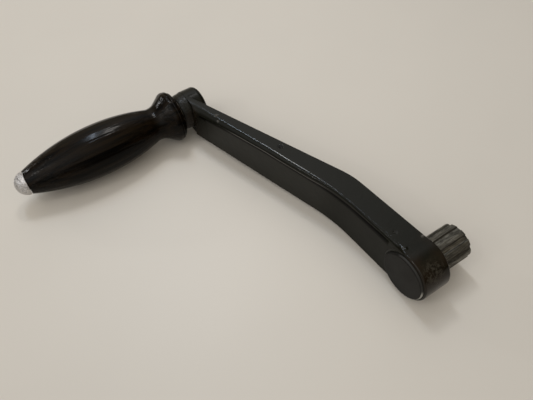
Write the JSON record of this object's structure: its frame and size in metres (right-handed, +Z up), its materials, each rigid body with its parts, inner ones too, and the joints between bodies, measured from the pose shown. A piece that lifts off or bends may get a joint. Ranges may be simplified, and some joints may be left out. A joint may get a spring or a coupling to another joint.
{
  "type": "crank handle",
  "caption": "Black hand crank handle: a dog-leg arm with a splined steel drive stub at one end and a turned, freely spinning grip at the other.",
  "frame": {"origin": "on the drive shaft's axis, in the plane of the boss's rear face", "axes": "+Y along the splined stub, away from the boss; -X along the arm to the grip; +Z up as the handle lies on its narrow edge"},
  "size_m": [0.1781, 0.1639, 0.0286],
  "materials": {
    "arm_paint": "semi-gloss black enamel over cast iron, chipped and rubbed",
    "shaft_steel": "bare worn steel, dull and scored along the teeth",
    "grip_lacquer": "turned hardwood with a glossy black lacquer",
    "spindle_steel": "plain turned steel",
    "washer_steel": "oil-darkened steel",
    "dome_metal": "bright, lightly hammered and scuffed"
  },
  "bodies": {
    "crank": {"crank_arm": "arm_paint", "drive_shaft": "shaft_steel", "grip_spindle": "spindle_steel", "thrust_washer": "washer_steel", "end_dome": "dome_metal"},
    "grip": {"grip": "grip_lacquer"}
  },
  "joints": [
    {"name": "grip_spin", "type": "hinge", "parent": "crank", "child": "grip", "pos_m": [-0.15, -0.095, 0], "axis": [0, 1, 0], "continuous": true}
  ]
}
